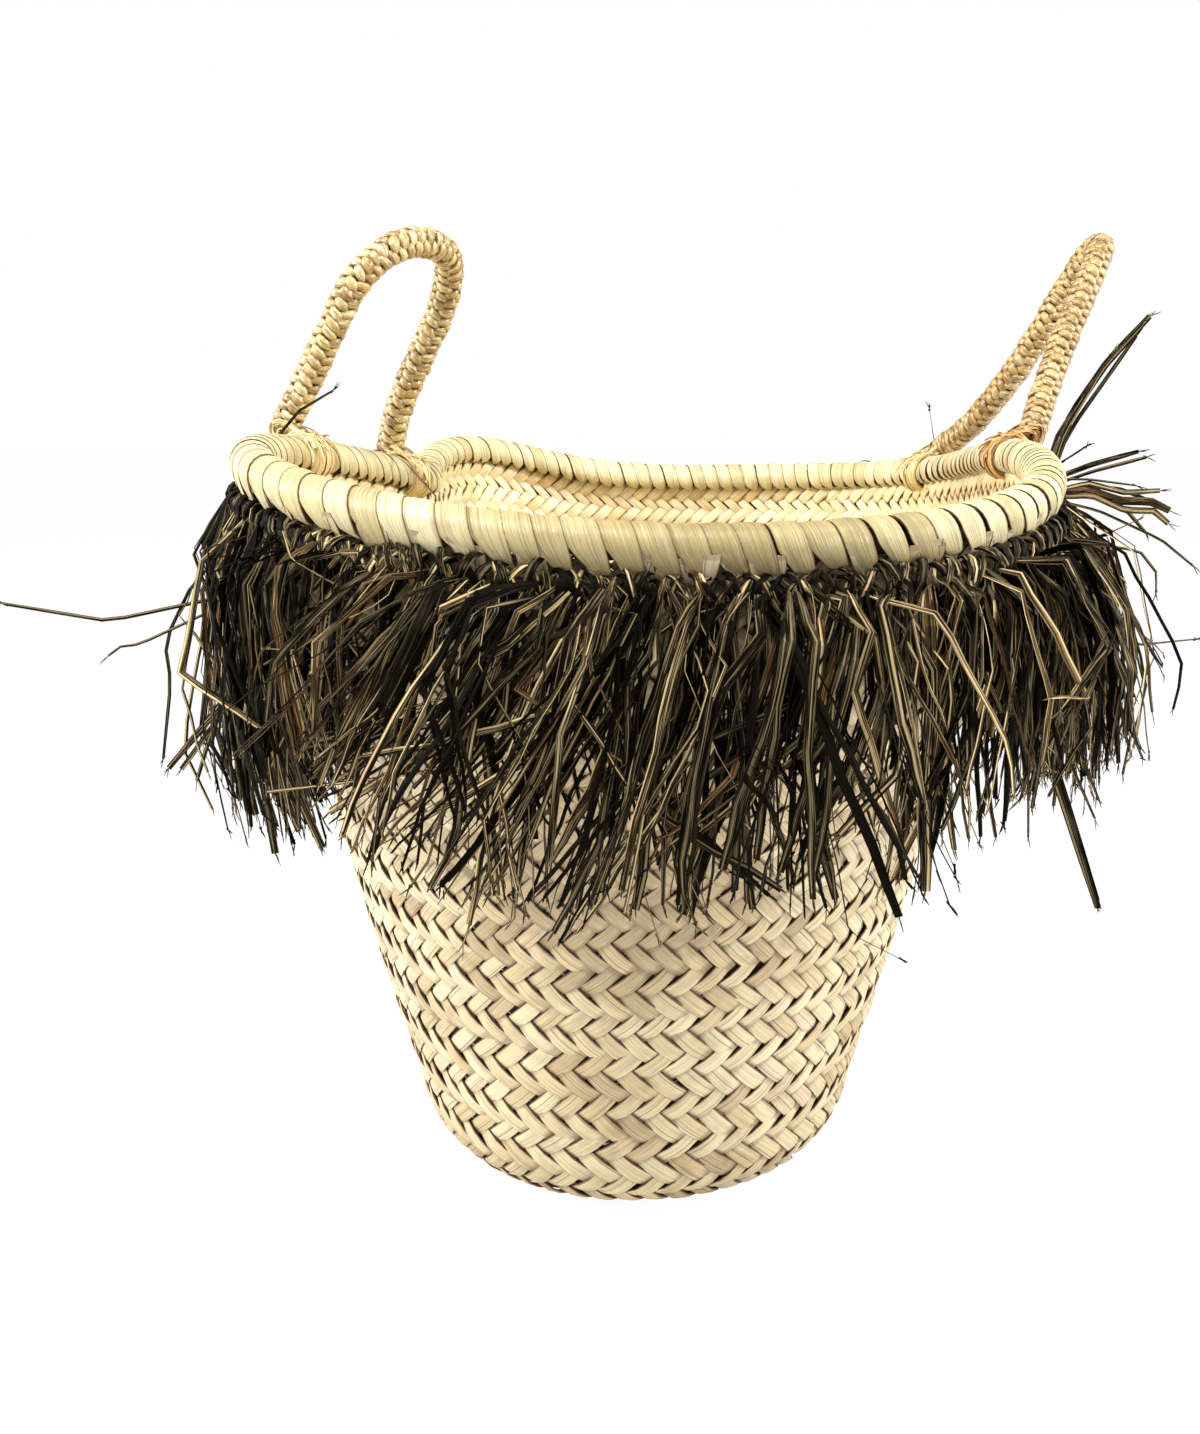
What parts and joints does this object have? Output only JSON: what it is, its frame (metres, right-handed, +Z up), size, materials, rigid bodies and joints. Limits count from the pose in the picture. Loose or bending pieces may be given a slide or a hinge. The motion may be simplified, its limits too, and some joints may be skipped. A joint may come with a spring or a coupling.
{
  "type": "woven basket with fringe and two loop handles",
  "caption": "Plaited palm-leaf belly basket with a wrapped rim, a dark raffia fringe hanging below it and two braided loop handles that tip on the rim.",
  "frame": {"origin": "centre of the flat underside of the base, where the basket stands", "axes": "+Z up through the mouth, +X towards the right handle, -Y towards the front of the basket"},
  "size_m": [0.4368, 0.3934, 0.3653],
  "materials": {
    "palm_plait": "dry plaited palm leaf, cream to tan",
    "sewing_cord": "twisted palm fibre cord",
    "rim_pith": "bundled palm leaf, hidden",
    "rim_leaf": "broad palm leaf strips, slightly glossy",
    "dark_raffia": "dyed raffia strands, dark brown",
    "golden_fibre": "golden brown fibre",
    "braided_palm": "round braid of golden straw"
  },
  "bodies": {
    "basket": {"base_disc": "palm_plait", "base_edge": "palm_plait", "fringe_01": "dark_raffia", "fringe_02": "dark_raffia", "fringe_03": "dark_raffia", "fringe_04": "dark_raffia", "fringe_05": "dark_raffia", "fringe_06": "dark_raffia", "fringe_07": "dark_raffia", "fringe_08": "dark_raffia", "fringe_09": "dark_raffia", "fringe_10": "dark_raffia", "fringe_11": "dark_raffia", "fringe_12": "dark_raffia", "fringe_13": "dark_raffia", "left_far_lashing": "golden_fibre", "left_near_lashing": "golden_fibre", "right_far_lashing": "golden_fibre", "right_near_lashing": "golden_fibre", "rim_core": "rim_pith", "rim_wrap": "rim_leaf", "sewing_cord_1": "sewing_cord", "sewing_cord_2": "sewing_cord", "sewing_cord_3": "sewing_cord", "sewing_cord_4": "sewing_cord", "sewing_cord_5": "sewing_cord", "wall_course_1": "palm_plait", "wall_course_2": "palm_plait", "wall_course_3": "palm_plait", "wall_course_4": "palm_plait", "wall_course_5": "palm_plait"},
    "left_handle": {"left_handle_core": "sewing_cord", "left_handle_sheath": "braided_palm"},
    "right_handle": {"right_handle_core": "sewing_cord", "right_handle_sheath": "braided_palm"}
  },
  "joints": [
    {"name": "left_handle_tilt", "type": "hinge", "parent": "basket", "child": "left_handle", "pos_m": [-0.11451, -0.00519, 0.28651], "axis": [0.5208, 0.8342, -0.1815], "range_deg": [-103, 17]},
    {"name": "right_handle_tilt", "type": "hinge", "parent": "basket", "child": "right_handle", "pos_m": [0.14471, 0.03434, 0.28458], "axis": [-0.1142, 0.9867, -0.1158], "range_deg": [-73, 47]}
  ]
}
